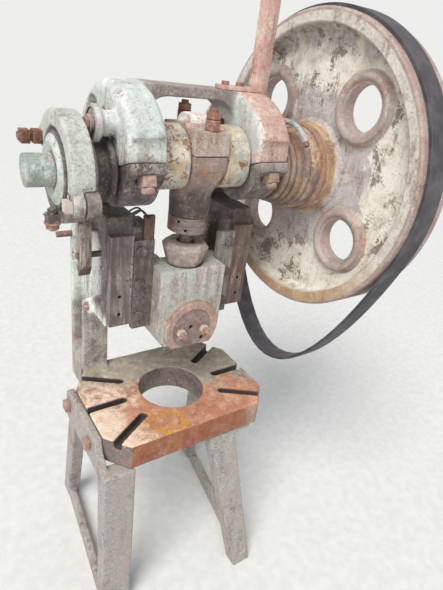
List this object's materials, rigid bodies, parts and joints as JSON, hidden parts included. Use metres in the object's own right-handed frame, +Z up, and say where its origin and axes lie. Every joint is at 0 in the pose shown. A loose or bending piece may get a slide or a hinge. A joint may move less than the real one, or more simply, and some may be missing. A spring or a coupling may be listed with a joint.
{
  "type": "mechanical stamping press",
  "caption": "Open-back mechanical stamping press with a flywheel, an overhead crankshaft, a sliding ram and a bed with a round die opening",
  "frame": {"origin": "centre of the die opening at the bed's top face", "axes": "+X along the crankshaft towards the flywheel, +Y to the back, +Z up; the front faces -Y"},
  "size_m": [0.904, 0.8186, 1.8482],
  "materials": {
    "frame": "worn paint over rusted casting",
    "bearing_cap_left": "worn paint over rusted casting",
    "bearing_cap_right": "worn paint over rusted casting",
    "bearing_cap_studs": "rusted, greasy steel",
    "bearing_cap_nuts": "rusted, greasy steel",
    "main_bush_left": "dull bronze",
    "main_bush_right": "dull bronze",
    "leg_left": "worn paint over rusted casting",
    "leg_right": "worn paint over rusted casting",
    "leg_bolts": "rusted, greasy steel",
    "gib_outer_left": "rusted, greasy steel",
    "gib_outer_right": "rusted, greasy steel",
    "gib_inner_left": "rusted, greasy steel",
    "gib_inner_right": "rusted, greasy steel",
    "gib_screws": "rusted, greasy steel",
    "gib_post": "rusted, greasy steel",
    "oil_pipe": "rusted, greasy steel",
    "guard_bracket": "rusted, greasy steel",
    "guard_bracket_bolts": "rusted, greasy steel",
    "rear_pin": "rusted, greasy steel",
    "link_disc": "rusted, greasy steel",
    "link_disc_bolt": "rusted, greasy steel",
    "trip_lever_pin": "rusted, greasy steel",
    "trip_lever": "rusted, greasy steel",
    "brake_strap": "worn paint over rusted casting",
    "brake_strap_lower": "rusted, greasy steel",
    "brake_linings": "brown friction lining",
    "brake_hinge_pin": "rusted, greasy steel",
    "brake_anchor_stud": "rusted, greasy steel",
    "brake_anchor_nuts": "rusted, greasy steel",
    "brake_adjusting_stud": "rusted, greasy steel",
    "crankshaft": "rusted, greasy steel",
    "brake_drum": "worn paint over rusted casting",
    "shaft_keys": "rusted, greasy steel",
    "clutch_collar": "rusted, greasy steel",
    "shaft_end_collar": "rusted, greasy steel",
    "pitman": "worn paint over rusted casting",
    "pitman_cap": "worn paint over rusted casting",
    "pitman_studs": "rusted, greasy steel",
    "pitman_nuts": "rusted, greasy steel",
    "big_end_bush": "dull bronze",
    "adjusting_screw": "rusted, greasy steel",
    "lock_rings": "rusted, greasy steel",
    "ball_nut": "rusted, greasy steel",
    "ball_cup": "dull bronze",
    "ram": "worn paint over rusted casting",
    "shank_clamp": "rusted, greasy steel",
    "shank_clamp_studs": "rusted, greasy steel",
    "shank_clamp_nuts": "rusted, greasy steel",
    "flywheel": "worn paint over rusted casting",
    "flywheel_bush": "dull bronze",
    "clutch_ring": "rusted, greasy steel",
    "clutch_ring_bolts": "rusted, greasy steel",
    "drive_belt": "dusty black belting"
  },
  "bodies": {
    "press_frame": {"frame": "frame", "bearing_cap_left": "bearing_cap_left", "bearing_cap_right": "bearing_cap_right", "bearing_cap_studs": "bearing_cap_studs", "bearing_cap_nuts": "bearing_cap_nuts", "main_bush_left": "main_bush_left", "main_bush_right": "main_bush_right", "leg_left": "leg_left", "leg_right": "leg_right", "leg_bolts": "leg_bolts", "gib_outer_left": "gib_outer_left", "gib_outer_right": "gib_outer_right", "gib_inner_left": "gib_inner_left", "gib_inner_right": "gib_inner_right", "gib_screws": "gib_screws", "gib_post": "gib_post", "oil_pipe": "oil_pipe", "guard_bracket": "guard_bracket", "guard_bracket_bolts": "guard_bracket_bolts", "rear_pin": "rear_pin", "link_disc": "link_disc", "link_disc_bolt": "link_disc_bolt", "trip_lever_pin": "trip_lever_pin", "brake_strap": "brake_strap", "brake_strap_lower": "brake_strap_lower", "brake_linings": "brake_linings", "brake_hinge_pin": "brake_hinge_pin", "brake_anchor_stud": "brake_anchor_stud", "brake_anchor_nuts": "brake_anchor_nuts", "brake_adjusting_stud": "brake_adjusting_stud", "drive_belt": "drive_belt"},
    "crank_body": {"crankshaft": "crankshaft", "brake_drum": "brake_drum", "shaft_keys": "shaft_keys", "clutch_collar": "clutch_collar", "shaft_end_collar": "shaft_end_collar"},
    "pitman_body": {"pitman": "pitman", "pitman_cap": "pitman_cap", "pitman_studs": "pitman_studs", "pitman_nuts": "pitman_nuts", "big_end_bush": "big_end_bush", "adjusting_screw": "adjusting_screw", "lock_rings": "lock_rings", "ball_nut": "ball_nut", "ball_cup": "ball_cup"},
    "ram_body": {"ram": "ram", "shank_clamp": "shank_clamp", "shank_clamp_studs": "shank_clamp_studs", "shank_clamp_nuts": "shank_clamp_nuts"},
    "flywheel_body": {"flywheel": "flywheel", "flywheel_bush": "flywheel_bush", "clutch_ring": "clutch_ring", "clutch_ring_bolts": "clutch_ring_bolts"},
    "lever_body": {"trip_lever": "trip_lever"}
  },
  "joints": [
    {"name": "crank_turn", "type": "hinge", "parent": "press_frame", "child": "crank_body", "pos_m": [0, 0, 0.676], "axis": [-1, 0, 0], "range_deg": [0, 180]},
    {"name": "pitman_swing", "type": "hinge", "parent": "crank_body", "child": "pitman_body", "pos_m": [0, 0, 0.721], "axis": [-1, 0, 0], "range_deg": [-180, 0]},
    {"name": "ram_slide", "type": "slide", "parent": "press_frame", "child": "ram_body", "axis": [0, 0, -1], "range_m": [0, 0.09]},
    {"name": "flywheel_turn", "type": "hinge", "parent": "crank_body", "child": "flywheel_body", "pos_m": [0.4, 0, 0.676], "axis": [1, 0, 0], "continuous": true},
    {"name": "lever_swing", "type": "hinge", "parent": "press_frame", "child": "lever_body", "pos_m": [-0.235, 0.098, 0.43], "axis": [1, 0, 0], "range_deg": [-25, 25]}
  ],
  "couplings": [
    {"joint": "pitman_swing", "follows": "crank_turn", "ratio": -1},
    {"joint": "ram_slide", "follows": "crank_turn", "m_per_rad": 0.028648}
  ]
}
